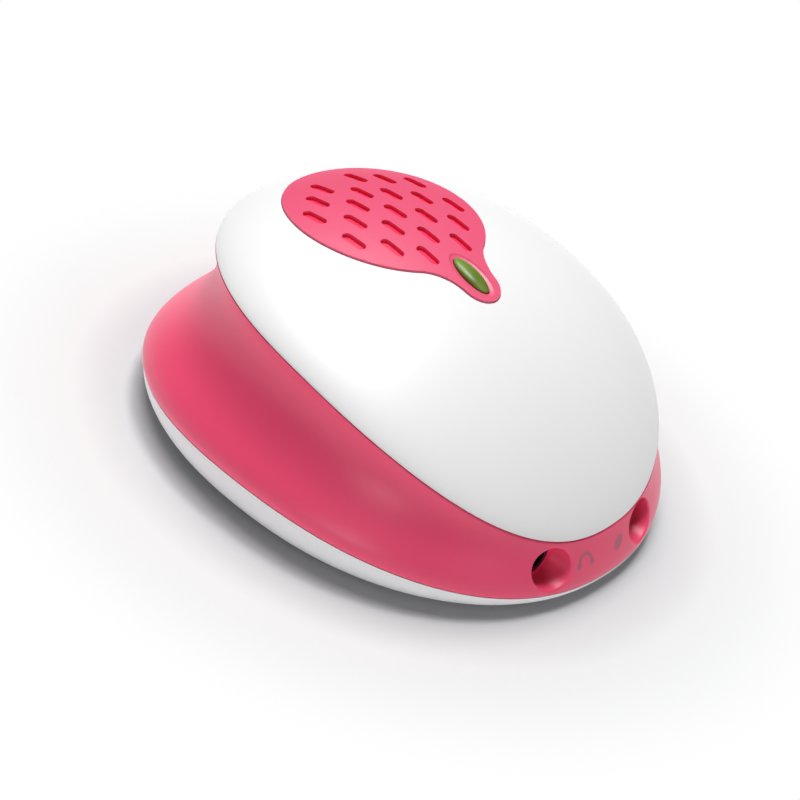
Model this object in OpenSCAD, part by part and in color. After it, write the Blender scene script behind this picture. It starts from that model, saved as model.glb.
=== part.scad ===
// Pocket fetal doppler: an egg-like dome on a flared waist, with a slotted
// insert, a lit power button, two audio sockets and a probe in its underside.
// +Z is up, the sockets face -Y, and X = 0 is the plane of symmetry.
// Lengths are in millimetres.

/* [Overall form] */
// Length at the lower edge of the waist
body_l = 100; // [96:1:112]
// Width at the lower edge of the waist
body_w = 92; // [88:1:104]
// Squareness of the lower edge, where 2 is an ellipse
lip_power = 2.2; // [2:0.05:2.5]
// Height of the lower edge at the middle of each side
lip_side_z = 8; // [6:0.5:9]
// Height of the lower edge at the front and back ends
lip_end_z = 3; // [2.6:0.1:3.6]
// Share of the outline that is left as the flat underside
foot_share = 0.885; // [0.86:0.005:0.92]
// Wall thickness of the moulded shells
wall = 2.2; // [2:0.1:2.4]
// Thickness of the base's floor
floor_t = 2.6; // [2.4:0.1:3]

/* [Dome] */
// Length of the dome at its rim
dome_l = 88.6; // [86:0.2:92]
// Width of the dome at its rim
dome_w = 78.8; // [76:0.2:82]
// How far the rim's centre lies in front of the body's centre
dome_shift = 2.7; // [2:0.1:3.4]
// Squareness of the rim, where 2 is an ellipse
rim_power = 2.22; // [2:0.02:2.4]
// Height of the rim at the back end
rim_back_z = 33; // [31:0.5:35]
// Height of the rim at mid length
rim_mid_z = 29.7; // [28:0.1:31]
// Height of the rim at the front end
rim_front_z = 11.2; // [10.8:0.1:12]
// Rise of the rim over half a length, as it passes mid length
rim_slope = 7.5; // [6:0.5:9]
// Crown of the dome above the level of its rim
crown_h = 10.1; // [9:0.1:12]
// Fullness of the crown, lower is fuller
crown_power = 0.665; // [0.6:0.005:0.75]
// Share by which the crown grows towards the back
crown_lean = 0.217; // [0.15:0.001:0.3]

/* [Waist] */
// Swell of the waist over its lower edge, where it is tallest
waist_swell = 1.48; // [1.2:0.02:1.7]
// Height share at which the swell pulls
waist_swell_h = 0.25; // [0.2:0.01:0.32]
// Pull of the hollow under the rim, where the waist is tallest
waist_hollow = -0.7; // [-0.8:0.05:-0.2]
// Height share at which the hollow pulls
waist_hollow_h = 0.44; // [0.4:0.01:0.55]
// Seam between the mouldings
seam = 0.1; // [0.05:0.05:0.2]
// Depth of the dome's locating tongue below its rim
tongue_h = 2; // [1.5:0.1:2.4]
// Thickness of the tongue
tongue_t = 0.8; // [0.7:0.1:1]

/* [Slotted insert] */
// Radius of the insert's round head
head_r = 18.9; // [17.5:0.1:19.5]
// Place of the head's centre along the body
head_y = 16.5; // [15.5:0.1:17]
// Radius of the insert's tail
tail_r = 4.3; // [4.1:0.1:4.6]
// Radius of the hollow between head and tail
neck_r = 10; // [8:0.5:14]
// How far the insert stands proud of the dome
insert_proud = 0.4; // [0.3:0.1:0.8]
// Depth to which the insert is let into the dome
insert_sunk = 1.1; // [0.9:0.1:1.3]
// Length of a slot
slot_l = 5.2; // [4.5:0.1:6.2]
// Width of a slot
slot_w = 2; // [1.4:0.1:2.2]
// Depth of a slot
slot_d = 0.9; // [0.6:0.1:1.1]
// Distance between columns of slots
slot_pitch_x = 4.7; // [4.3:0.1:4.9]
// Distance between slots in the middle column
slot_pitch_y = 8.2; // [7.6:0.1:8.4]

/* [Power button] */
// Length of the oval button
button_l = 8.6; // [8:0.1:9.4]
// Width of the oval button
button_w = 3.7; // [3.2:0.1:4.2]
// Place of the button's centre along the body
button_y = -4.8; // [-5.2:0.1:-4.5]
// Travel of the button
button_travel = 0.5; // [0.3:0.1:0.6]
// Running gap round the button
button_gap = 0.15; // [0.1:0.05:0.2]

/* [Sockets] */
// Distance of each socket from the middle between them
socket_x = 13; // [12:0.1:13.6]
// Place of that middle beside the centre plane
socket_shift = -1.5; // [-2:0.1:0]
// Height of the sockets' axes
socket_z = 7.9; // [7.6:0.1:8.1]
// Width of the oval recess round a socket
recess_w = 8.7; // [7.4:0.1:9]
// Height of the recess
recess_h = 7.2; // [6.4:0.1:7.4]
// Depth of the recess's floor behind the body's front end
recess_depth = 6.8; // [6.6:0.1:8]
// Radius of the hole for a 3.5 mm plug
plug_r = 1.8; // [1.75:0.01:1.85]

/* [Battery] */
// Length of the battery's case, without its studs
battery_l = 46.4; // [45:0.1:47]
// Width of the battery
battery_w = 26.5; // [25.5:0.1:26.7]
// Height of the battery as it lies
battery_h = 17.5; // [16.5:0.1:17.6]
// Place of the battery's centre along the body
battery_y = -10.7; // [-12.5:0.1:-10.3]
// Thickness of the battery door
door_t = 1.4; // [1.2:0.1:1.6]
// Gap round the battery door
door_gap = 0.2; // [0.15:0.05:0.3]

/* [Probe] */
// Radius of the probe's face
probe_r = 13; // [11:0.1:13.2]
// Height of the probe's cup above its flange
cup_h = 11; // [9:0.5:14]

/* [Circuit boards] */
// Thickness of a circuit board
board_t = 1.6; // [1:0.1:1.6]
// Length of the main board
board_l = 54; // [50:0.5:54]
// Width of the main board
board_w = 46.8; // [44:0.2:47]
// Height of the main board's underside
board_z = 23; // [22.6:0.1:23.2]

/* [Hidden] */
$fn = 64;

// Facets round a lofted shell, and rings over each of its faces
seg = 72;
dome_rings = 9;
inner_rings = 6;
waist_rings = 9;
foot_rings = 5;

slack = 0.1;          // clearance of pieces that are fitted once
run = 0.05;           // radial clearance of a pivot
far = 200;            // longer than anything here

// ---- the surfaces that the shells share --------------------------------
function bulge(c, p) = sign(c) * pow(abs(c), 2 / p);
function mix3(p, q, w) = p * (1 - w) + q * w;

dome_y = -dome_shift;
half_dl = dome_l / 2;
half_dw = dome_w / 2;
rim_c2 = (rim_back_z + rim_front_z) / 2 - rim_mid_z;
rim_c3 = (rim_back_z - rim_front_z) / 2 - rim_slope;

// Height of the rim at u, from -1 at its front to 1 at its back
function rim_z(u) = rim_mid_z + u * (rim_slope + u * (rim_c2 + u * rim_c3));

// Height of the waist's lower edge at v, from -1 to 1 along the body
function lip_z(v) = lip_side_z - (lip_side_z - lip_end_z) * v * v;

// Point of the rim at angle a, moved inwards by d
function rim_pt(a, d) =
    let (u = bulge(sin(a), rim_power))
    [(half_dw - d) * bulge(cos(a), rim_power), dome_y + (half_dl - d) * u,
     rim_z(u)];

// Point of the waist's lower edge at angle a, moved inwards by d
function lip_pt(a, d) =
    let (v = bulge(sin(a), lip_power))
    [(body_w / 2 - d) * bulge(cos(a), lip_power), (body_l / 2 - d) * v,
     lip_z(v)];

// Height of the dome at share t of the way out to its rim
function crown(u, t, h) =
    rim_z(u) + h * pow(max(0, 1 - t * t), crown_power) * (1 + crown_lean * u);

// Point of the dome's skin, moved inwards by d, with crown h
function dome_pt(a, t, d, h) =
    let (u = t * bulge(sin(a), rim_power))
    [(half_dw - d) * t * bulge(cos(a), rim_power),
     dome_y + (half_dl - d) * u, crown(u, t, h)];

// Height of the dome's skin over a point of the plan
function skin_z(x, y) =
    let (u = (y - dome_y) / half_dl, v = x / half_dw,
         t = pow(pow(abs(u), rim_power) + pow(abs(v), rim_power),
                 1 / rim_power))
    crown(u, t, crown_h);

function bez(p0, p1, p2, p3, t) =
    let (s = 1 - t)
    s * s * s * p0 + 3 * s * s * t * p1 + 3 * s * t * t * p2 + t * t * t * p3;

// The waist is hollow where it is tall and nearly straight at the front
waist_low = rim_front_z - lip_end_z;
waist_tall = rim_mid_z - lip_side_z;
function waist_pt(a, t, d) =
    let (r = rim_pt(a, d), l = lip_pt(a, d),
         c = min(1, max(0, (r.z - l.z - waist_low) / (waist_tall - waist_low))),
         w = bez(1, 1.05 + (waist_swell - 1.05) * c,
                 0.35 + (waist_hollow - 0.35) * c, 0, t),
         h = bez(0, waist_swell_h, 0.65 + (waist_hollow_h - 0.65) * c, 1, t),
         p = mix3(r, l, w))
    [p.x, p.y, l.z + (r.z - l.z) * h];

// ---- lofting ------------------------------------------------------------
function angles() = [for (k = [0 : seg - 1]) 360 * k / seg];
function lift(ring, dz) = [for (p = ring) [p.x, p.y, p.z + dz]];

// Walls between the rings from number first up to number last
function walls(first, last) =
    [for (i = [first : last - 1], j = [0 : seg - 1])
        let (k = (j + 1) % seg,
             a = i * seg + j, b = (i + 1) * seg + j,
             c = (i + 1) * seg + k, d = i * seg + k)
        each [[a, b, c], [a, c, d]]];

// A solid through rings, closed by a point before the first and one after
// the last, with the solid on the left of the profile
module closed_loft(start, rings, end) {
    m = len(rings);
    pts = [each [for (r = rings) each r], start, end];
    polyhedron(pts, [
        each walls(0, m - 1),
        each [for (j = [0 : seg - 1]) [m * seg, j, (j + 1) % seg]],
        each [for (j = [0 : seg - 1])
            [(m - 1) * seg + j, m * seg + 1, (m - 1) * seg + (j + 1) % seg]]
    ], convexity = 8);
}

// A ring-shaped solid, whose last ring joins its first
module ring_loft(rings) {
    m = len(rings);
    pts = [for (r = rings) each r];
    polyhedron(pts, [
        each walls(0, m - 1),
        each [for (j = [0 : seg - 1])
            let (k = (j + 1) % seg, a = (m - 1) * seg)
            each [[a + j, j, k], [a + j, k, a + k]]]
    ], convexity = 8);
}

// The dome filled in, from below its rim up to its skin
module dome_solid() {
    closed_loft(
        [0, dome_y, 0],
        concat(
            [[for (a = angles()) let (p = rim_pt(a, wall)) [p.x, p.y, 0]]],
            [for (k = [inner_rings : -1 : 1])
                [for (a = angles()) dome_pt(a, sin(90 * k / inner_rings), 0.6,
                                            crown_h - 0.6)]]),
        [0, dome_y, crown(0, 0, crown_h - 0.6)]);
}

// The waist filled in, between the base and the dome
module waist_solid() {
    closed_loft(
        [0, 0, lip_side_z],
        [for (k = [0 : inner_rings])
            [for (a = angles()) waist_pt(a, k / inner_rings, 0.5)]],
        [0, dome_y, rim_mid_z]);
}

// ---- plan outlines ------------------------------------------------------
function ellipse(l, w) =
    [for (k = [0 : 47]) [w / 2 * cos(7.5 * k), l / 2 * sin(7.5 * k)]];

module oval(l, w) { polygon(ellipse(l, w)); }

module rounded(l, w, r) {
    square([w - 2 * r, l], center = true);
    square([w, l - 2 * r], center = true);
    for (x = [-1, 1], y = [-1, 1])
        translate([x * (w / 2 - r), y * (l / 2 - r)]) circle(r);
}

// Teardrop of the insert: a round head, a small round tail, and between them
// a waist cut by one circle on each side that touches both
tail_y = button_y - button_l / 2 + 2.4;
module teardrop(grow) {
    span = head_y - tail_y;
    to_head = head_r + neck_r;
    to_tail = tail_r + neck_r;
    drop = (to_head * to_head - to_tail * to_tail + span * span) / (2 * span);
    out = sqrt(to_head * to_head - drop * drop);
    translate([0, head_y]) circle(head_r + grow);
    translate([0, tail_y]) circle(tail_r + grow);
    difference() {
        polygon([[0, head_y], [-out, head_y - drop], [0, tail_y],
                 [out, head_y - drop]]);
        for (s = [-1, 1])
            translate([s * out, head_y - drop]) circle(neck_r - grow);
    }
}

// Rings of the dome's own facets, lifted by dz
function skin_rings(dz) =
    [for (k = [1 : dome_rings - 1])
        lift([for (a = angles()) dome_pt(a, sin(90 * k / dome_rings), 0, crown_h)], dz)];
function skin_top(dz) = [0, dome_y, crown(0, 0, crown_h) + dz];

// Slab over the dome, from low to high above its skin
module skin_slab(low, high) {
    over = skin_rings(high);
    closed_loft(skin_top(low),
                concat(skin_rings(low), [for (k = [len(over) - 1 : -1 : 0]) over[k]]),
                skin_top(high));
}

// All that lies more than low above the dome's skin
module above_skin(low) {
    under = skin_rings(low);
    closed_loft(skin_top(low),
                concat(under, [lift(under[len(under) - 1], 2 * crown_h + rim_back_z)]),
                skin_top(2 * crown_h + rim_back_z));
}

module along_y(p, r, l) { translate(p) rotate([-90, 0, 0]) cylinder(r = r, h = l); }
module along_x(p, r, l) { translate(p) rotate([0, 90, 0]) cylinder(r = r, h = l); }
module both_sides() {
    children();
    mirror([1, 0, 0]) children();
}
module each_socket() {
    for (s = [-1, 1]) translate([socket_shift + s * socket_x, 0, socket_z]) children();
}

// Rod of a recess's oval section, grown all round
module recess_rod(grow, y0, y1) {
    translate([0, y0, 0]) rotate([-90, 0, 0]) linear_extrude(y1 - y0)
        oval(recess_h + 2 * grow, recess_w + 2 * grow);
}

// ---- what the pieces share ----------------------------------------------
// Case screws: front pair and back pair, with the level where the posts meet
case_screw_at = [[21.6, -33.6, 10], [30.2, 12, 12]];
post_r = 3.2;
case_shank_r = 1.2;
case_head_r = 2.4;
case_head_h = 1.6;
case_seat_z = 3;
case_screw_l = 14;

// Board screws: a pair over the battery and a pair on posts at the back
board_y = 3;
board_screw_at = [[19, -20], [20.6, 26]];
board_post_r = 2.2;
board_shank_r = 0.95;
board_screw_l = 4;

// Battery compartment, with room for the connector and the door's latch
connector_t = 4.4;
connector_h = 12.5;
connector_round = 3;
small_stud_r = 2.9;
large_stud_r = 4;
stud_h = 2;
pocket_wall = 1.2;
pocket_x = (battery_l + connector_t + 1.6) / 2;
pocket_back = battery_y + battery_w / 2 + 0.35;
pocket_front = battery_y - battery_w / 2 - 1.95;
battery_z = floor_t + 0.2;
pocket_top = battery_z + battery_h + 0.3;
battery_x0 = -pocket_x + 0.3;
door_ledge = 1.2;

// Door: hinge axis behind the compartment
hinge_r = 1.2;
hinge_pin_r = 0.7;
hinge_y = pocket_back + pocket_wall + 1.9;
hinge_z = door_t;
hinge_half = pocket_x - 1.7;
hinge_block_y = hinge_y + 2.7;
door_back = pocket_back + 0.6;
ear_y = hinge_y - sqrt(pow(hinge_y - door_back, 2) - pow(hinge_z + 0.15, 2));
door_low = 0.1;
pad_t = 1.2;

// Probe
flange_r = probe_r + 1.7;
ring_t = 1.2;
ring_r = flange_r + slack + ring_t;
probe_y = hinge_block_y + 1.1 + ring_r;
flange_top = floor_t + 0.6;
cup_wall = 1.2;
cup_r = probe_r - 0.2;
crystal_t = 1;
crystal_r = cup_r - cup_wall - 0.6;

// Sockets
nose_r = 2.9;
recess_back = 0.8;
recess_floor_y = recess_depth - body_l / 2;
cup_shell = 0.75;
socket_w = 6.4;
socket_h = 5;
socket_end_y = pocket_front - pocket_wall - 0.3;
socket_board_z = socket_z - socket_h / 2 - board_t;

// Switch under the button
switch_h = 3.8;
switch_w = 6;
plunger_r = 1.75;
board_top = board_z + board_t;
plunger_low = board_top + 1.6;
plunger_top = plunger_low + 3.5;
guide_z = board_top + 9.4;
guide_wall = 1.2;
flange_gap = 0.3;

// ---- shells -------------------------------------------------------------
module top_shell() {
    color("white") difference() {
        union() {
            dome_skin();
            intersection() {
                dome_solid();
                union() {
                    both_sides() for (p = case_screw_at)
                        translate([p.x, p.y, p.z + slack]) cylinder(r = post_r, h = far);
                    translate([0, button_y, guide_z]) linear_extrude(far)
                        oval(button_l + 2 * guide_wall, button_w + 2 * guide_wall);
                }
            }
        }
        // Seat of the slotted insert
        intersection() {
            linear_extrude(far) teardrop(slack);
            above_skin(-insert_sunk);
        }
        // Way for the button
        linear_extrude(far) translate([0, button_y])
            oval(button_l + 2 * button_gap, button_w + 2 * button_gap);
        // Pilot holes of the case screws
        both_sides() for (p = case_screw_at)
            translate([p.x, p.y, 0]) cylinder(r = case_shank_r + run, h = case_seat_z + case_screw_l + 1);
        // Room in the tongue for the sockets' cups
        each_socket() recess_rod(cup_shell + slack, recess_floor_y - 2.6, recess_floor_y + 5);
    }
}

// The dome's wall with its tongue: down the inside, round, up the outside
module dome_skin() {
    inside = [for (k = [1 : inner_rings])
        [for (a = angles())
            dome_pt(a, sin(90 * k / inner_rings), wall, crown_h - wall)]];
    outside = [for (k = [dome_rings : -1 : 1])
        [for (a = angles()) dome_pt(a, sin(90 * k / dome_rings), 0, crown_h)]];
    tongue = [
        lift([for (a = angles()) rim_pt(a, wall)], -tongue_h),
        lift([for (a = angles()) rim_pt(a, wall - tongue_t)], -tongue_h),
        [for (a = angles()) rim_pt(a, wall - tongue_t)]
    ];
    closed_loft([0, dome_y, crown(0, 0, crown_h - wall)],
                concat(inside, tongue, outside),
                [0, dome_y, crown(0, 0, crown_h)]);
}

module waist_band() {
    outside = [for (k = [0 : waist_rings])
        lift([for (a = angles()) waist_pt(a, k / waist_rings, 0)],
             k == 0 ? seam / 2 : k == waist_rings ? -seam / 2 : 0)];
    groove = [
        lift([for (a = angles()) rim_pt(a, wall - tongue_t - slack)], -seam / 2),
        lift([for (a = angles()) rim_pt(a, wall - tongue_t - slack)], -tongue_h - 2 * slack)
    ];
    inside = [for (k = [inner_rings - 1 : -1 : 0])
        lift([for (a = angles()) waist_pt(a, 0.84 * k / inner_rings, wall)],
             k == 0 ? seam / 2 : 0)];
    color("palevioletred") difference() {
        union() {
            ring_loft(concat(outside, groove, inside));
            // Cup behind each recess
            intersection() {
                waist_solid();
                each_socket() recess_rod(cup_shell, -far, recess_floor_y + recess_back);
            }
        }
        each_socket() {
            recess_rod(0, -far, recess_floor_y);
            along_y([0, -far, 0], nose_r + slack, far);
        }
    }
}

module base_shell() {
    foot = [for (k = [foot_rings : -1 : 0])
        [for (a = angles())
            let (p = lip_pt(a, 0), q = 90 * k / foot_rings,
                 s = foot_share + (1 - foot_share) * cos(q))
            [p.x * s, p.y * s, (p.z - (k == 0 ? seam / 2 : 0)) * (1 - sin(q))]]];
    hollow = [for (k = [0 : 3])
        [for (a = angles())
            let (p = lip_pt(a, wall), q = 30 * k,
                 s = foot_share + (1 - foot_share) * cos(q),
                 top = max(p.z - (k == 0 ? seam / 2 : 0), floor_t + 0.2))
            [p.x * s, p.y * s, floor_t + (top - floor_t) * (1 - sin(q))]]];
    color("white") difference() {
        union() {
            closed_loft([0, 0, 0], concat(foot, hollow), [0, 0, floor_t]);
            // Posts for the case screws and the main board
            both_sides() {
                for (p = case_screw_at)
                    translate([p.x, p.y, 1]) cylinder(r = post_r, h = p.z - 1);
                translate([board_screw_at[1].x, board_screw_at[1].y, 1])
                    cylinder(r = board_post_r, h = board_z - 1);
                translate([board_screw_at[0].x, board_screw_at[0].y, pocket_top])
                    cylinder(r = board_post_r, h = board_z - pocket_top);
            }
            // Rests of the socket board
            for (s = [-1, 1])
                translate([socket_shift + s * (socket_x - 4), recess_floor_y + 6, 1])
                    cylinder(r = 1.6, h = socket_board_z - 1);
            // Walls and roof of the battery compartment
            translate([0, (pocket_front + pocket_back) / 2, 1]) linear_extrude(pocket_top)
                rounded(pocket_back - pocket_front + 2 * pocket_wall,
                        2 * (pocket_x + pocket_wall), 2 * pocket_wall);
            // Block that carries the door's hinge
            translate([-pocket_x - pocket_wall, pocket_back, 0.5])
                cube([2 * (pocket_x + pocket_wall), hinge_block_y - pocket_back, 3.5]);
            // Ring that centres the probe
            translate([0, probe_y, 1]) cylinder(r = ring_r, h = 4.4);
        }
        // Battery compartment
        translate([-pocket_x, pocket_front, -1])
            cube([2 * pocket_x, pocket_back - pocket_front, pocket_top + 1]);
        // Recess of the door, narrower beside the hinge, where it leaves the
        // room that the door's back corners need as they swing
        translate([-pocket_x - door_ledge - door_gap, pocket_front - door_ledge - door_gap, -1])
            cube([2 * (pocket_x + door_ledge + door_gap),
                  ear_y - pocket_front + door_ledge + door_gap,
                  1 + door_low + door_t + 0.1]);
        translate([-hinge_half - door_gap, pocket_back - 1, -1])
            cube([2 * (hinge_half + door_gap), hinge_y + 1.5 - pocket_back + 1,
                  1 + hinge_z]);
        along_x([-hinge_half - door_gap, hinge_y, hinge_z], hinge_r + 0.15,
                2 * (hinge_half + door_gap));
        along_x([-hinge_half - 1.9, hinge_y, hinge_z], hinge_pin_r + run, 2 * (hinge_half + 1.9));
        // Seat of the probe
        translate([0, probe_y, -1]) cylinder(r = probe_r + slack, h = 20);
        translate([0, probe_y, floor_t]) cylinder(r = flange_r + slack, h = 20);
        both_sides() {
            for (p = case_screw_at) {
                translate([p.x, p.y, -1]) cylinder(r = case_head_r + 0.4, h = case_seat_z + 1);
                translate([p.x, p.y, 0]) cylinder(r = case_shank_r + 0.3, h = far);
            }
            translate([board_screw_at[1].x, board_screw_at[1].y, board_top - board_screw_l - 0.4])
                cylinder(r = board_shank_r + run, h = 20);
            translate([board_screw_at[0].x, board_screw_at[0].y, pocket_top - 1])
                cylinder(r = board_shank_r + run, h = 20);
        }
        // Ways for the battery leads through the roof
        for (s = [-1, 1])
            translate([lead_x, battery_y + s * lead_y, pocket_top - 1]) cylinder(r = 1, h = 20);
    }
}

// ---- insert and button ----------------------------------------------------
// Slots stand in columns that fan out a little: columns away from the middle
// alternate four, three and two slots
slot_count = [3, 4, 3, 2];
module slots() {
    for (i = [-3 : 3]) {
        n = slot_count[abs(i)];
        pitch = slot_pitch_y + 0.45 * abs(i);
        middle = head_y - 2 + 0.7 * abs(i);
        for (k = [0 : n - 1]) {
            x = i * slot_pitch_x;
            y = middle + (k - (n - 1) / 2) * pitch;
            translate([x, y, skin_z(x, y) + insert_proud - slot_d]) linear_extrude(6) {
                square([slot_w, slot_l - slot_w], center = true);
                for (s = [-1, 1]) translate([0, s * (slot_l - slot_w) / 2]) circle(slot_w / 2);
            }
        }
    }
}

well_ring = 0.9;       // width of the sunk ring round the button
module slotted_insert() {
    color("hotpink") difference() {
        intersection() {
            linear_extrude(far) teardrop(0);
            skin_slab(-insert_sunk + run, insert_proud);
        }
        slots();
        // Way for the button, with a wider well at the skin
        linear_extrude(far) translate([0, button_y])
            oval(button_l + 2 * button_gap, button_w + 2 * button_gap);
        intersection() {
            linear_extrude(far) translate([0, button_y])
                oval(button_l + 2 * well_ring, button_w + 2 * well_ring);
            above_skin(insert_proud - 0.5);
        }
    }
}

module power_button() {
    flange_z = guide_z - flange_gap;
    color("olivedrab") {
        intersection() {
            translate([0, button_y, flange_z - 1]) linear_extrude(far) oval(button_l, button_w);
            button_crown();
        }
        translate([0, button_y, flange_z - 1.1]) linear_extrude(1.1)
            oval(button_l + 1.8, button_w + 1.8);
        translate([0, button_y, plunger_top]) cylinder(r = 1.6, h = flange_z - 1 - plunger_top);
    }
}

// The button's top bows a little above the skin along its own length
module button_crown() {
    rings = 5;
    function crown_ring(k) =
        [for (a = angles())
            let (r = k / rings, x = r * button_w / 2 * 1.02 * cos(a),
                 y = button_y + r * button_l / 2 * 1.02 * sin(a))
            [x, y, skin_z(0, y) + insert_proud - 0.2 + 0.7 * (1 - r * r)]];
    closed_loft([0, button_y, 0],
                concat([[for (p = crown_ring(rings)) [p.x, p.y, 0]]],
                       [for (k = [rings : -1 : 1]) crown_ring(k)]),
                [0, button_y, skin_z(0, button_y) + insert_proud + 0.5]);
}

module switch_plunger() {
    color("dimgray") translate([0, button_y, plunger_low])
        cylinder(r = plunger_r, h = plunger_top - plunger_low);
}

module power_switch() {
    color("silver") difference() {
        translate([-switch_w / 2, button_y - switch_w / 2, board_top]) cube([switch_w, switch_w, switch_h]);
        // Room below the plunger for its travel
        translate([0, button_y, plunger_low - button_travel - 0.3])
            cylinder(r = plunger_r + run, h = 10);
    }
}

module power_led() {
    color("palegreen") {
        translate([-1.6, button_y - 6.2, board_top]) cube([3.2, 1.6, 0.8]);
        translate([0, button_y - 5.4, board_top + 0.8]) cylinder(r = 0.75, h = 0.6);
    }
}

// ---- battery and its door -------------------------------------------------
grip_w = battery_w * 0.53;
latch_w = battery_w * 0.45;
module battery_door() {
    color("white") {
        difference() {
            union() {
                translate([-pocket_x - door_ledge, pocket_front - door_ledge, door_low])
                    cube([2 * (pocket_x + door_ledge), door_back - pocket_front + door_ledge, door_t]);
                translate([-hinge_half, pocket_back - 1, door_low])
                    cube([2 * hinge_half, hinge_y - pocket_back + 1, hinge_z - door_low]);
                along_x([-hinge_half, hinge_y, hinge_z], hinge_r, 2 * hinge_half);
                along_x([-hinge_half - 1.6, hinge_y, hinge_z], hinge_pin_r, 2 * (hinge_half + 1.6));
                // Latch tongue
                translate([-latch_w / 2, pocket_front + 0.5, door_t]) cube([latch_w, 1.1, 2 * door_t]);
            }
            // Grip for a fingertip: three grooves
            for (k = [0 : 2])
                translate([-grip_w / 2, pocket_front + 2.4 + 1.8 * k, -1])
                    cube([grip_w, 0.8, 1 + door_low + 0.5]);
        }
    }
}

module door_pad() {
    l = battery_w * 0.68;
    w = battery_l * 0.69;
    color("gray") translate([-w / 2, battery_y - l / 2, door_low + door_t]) cube([w, l, pad_t]);
}

module battery() {
    stud_at = battery_w / 4;
    color("goldenrod") translate([battery_x0, battery_y, battery_z + battery_h / 2])
        rotate([0, 90, 0]) {
            linear_extrude(battery_l) rounded(battery_w, battery_h, 2);
            translate([0, -stud_at, battery_l]) cylinder(r = small_stud_r, h = stud_h);
            translate([0, stud_at, battery_l]) cylinder(r = large_stud_r, h = stud_h);
        }
}

lead_x = battery_x0 + battery_l + connector_t / 2 + 0.3;
lead_y = 5;
lead_r = 0.6;
module battery_connector() {
    stud_at = battery_w / 4;
    color("black") translate([battery_x0 + battery_l + 0.2, battery_y, battery_z + battery_h / 2])
        rotate([0, 90, 0]) difference() {
            linear_extrude(connector_t) rounded(battery_w - 1.5, connector_h, connector_round);
            translate([0, -stud_at, -1]) cylinder(r = small_stud_r + slack, h = stud_h + 1);
            translate([0, stud_at, -1]) cylinder(r = large_stud_r + slack, h = stud_h + 1);
        }
}

module battery_leads() {
    low = battery_z + battery_h / 2 + connector_h / 2;
    color("red") for (s = [-1, 1])
        translate([lead_x, battery_y + s * lead_y, low]) cylinder(r = lead_r, h = board_z - low);
}

// ---- probe ------------------------------------------------------------------
module probe_window() {
    color("whitesmoke") translate([0, probe_y, 0]) {
        cylinder(r = probe_r, h = flange_top);
        translate([0, 0, floor_t]) cylinder(r = flange_r, h = flange_top - floor_t);
    }
}

seal_r = 0.7;
module probe_seal() {
    color("dimgray") translate([0, probe_y, flange_top + seal_r])
        rotate_extrude() translate([cup_r + slack + seal_r, 0]) circle(seal_r);
}

module probe_cup() {
    color("lightgray") translate([0, probe_y, flange_top]) difference() {
        cylinder(r = cup_r, h = cup_h);
        translate([0, 0, -1]) cylinder(r = cup_r - cup_wall, h = cup_h - cup_wall + 1);
        cylinder(r = 2, h = far);
    }
}

// One half of the disc on side s, with a gap between the halves
module half_disc(s, r, h) {
    intersection() {
        cylinder(r = r, h = h);
        translate([s > 0 ? 0.5 : -far - 0.5, -far / 2, -1]) cube([far, far, h + 2]);
    }
}

module transmit_crystal() {
    color("khaki") translate([0, probe_y, flange_top]) half_disc(-1, crystal_r, crystal_t);
}

module receive_crystal() {
    color("khaki") translate([0, probe_y, flange_top]) half_disc(1, crystal_r, crystal_t);
}

module probe_backing() {
    color("saddlebrown") translate([0, probe_y, flange_top + crystal_t])
        cylinder(r = cup_r - cup_wall - slack, h = cup_h - cup_wall - crystal_t - 0.2);
}

module probe_leads() {
    low = flange_top + cup_h - cup_wall - 0.2;
    color("orange") for (s = [-1, 1])
        translate([s, probe_y, low]) cylinder(r = lead_r, h = board_z - low);
}

// ---- boards and what they carry -----------------------------------------------
module main_board() {
    color("darkgreen") difference() {
        translate([0, board_y, board_z]) linear_extrude(board_t) rounded(board_l, board_w, 4);
        both_sides() for (p = board_screw_at)
            translate([p.x, p.y, 0]) cylinder(r = board_shank_r + 0.15, h = far);
    }
}

module board_screws() {
    color("silver") both_sides() for (p = board_screw_at) translate([p.x, p.y, board_top]) {
        cylinder(r = 1.9, h = 1.2);
        translate([0, 0, -board_screw_l + 0.4]) cylinder(r = board_shank_r, h = board_screw_l - 0.4);
    }
}

module case_screws() {
    color("silver") both_sides() for (p = case_screw_at) translate([p.x, p.y, case_seat_z]) {
        difference() {
            translate([0, 0, -case_head_h]) cylinder(r = case_head_r, h = case_head_h);
            translate([0, 0, -case_head_h - 0.1]) cylinder(r = 1, h = 0.9, $fn = 6);
        }
        cylinder(r = case_shank_r, h = case_screw_l);
    }
}

module chip(x, y, l, w, h) {
    translate([x, y, board_top]) {
        translate([-w / 2, -l / 2, 0.1]) cube([w, l, h]);
        for (s = [-1, 1], k = [-1 : 1])
            translate([s * (w / 2 + 0.4) - 0.5, k * l / 4 - 0.3, 0]) cube([1, 0.6, 0.5]);
    }
}

chip_y = board_y - board_l / 5;
controller_l = board_w / 5.2;
controller_h = 1.4;
audio_chip_h = 1.5;
module controller_chip() {
    color("black") chip(-board_w / 4, chip_y, controller_l, controller_l, controller_h);
}
module audio_chip() {
    color("black") chip(board_w * 0.28, chip_y, board_w * 0.105, board_w * 0.085, audio_chip_h);
}

can_l = board_l * 0.28;
can_w = board_w * 0.38;
can_h = 3;
can_t = 0.3;
module shield_can() {
    color("silver") translate([-can_w / 2, board_y + board_l / 9, board_top]) difference() {
        cube([can_w, can_l, can_h]);
        translate([can_t, can_t, -1]) cube([can_w - 2 * can_t, can_l - 2 * can_t, 1 + can_h - can_t]);
    }
}

capacitor_r = 2.5;
capacitor_h = 5.4;
module capacitors() {
    color("navy") for (k = [-1 : 1])
        translate([board_w * 0.36, board_y + 6.5 + 3 * capacitor_r * k, board_top])
            cylinder(r = capacitor_r, h = capacitor_h);
}

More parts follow.
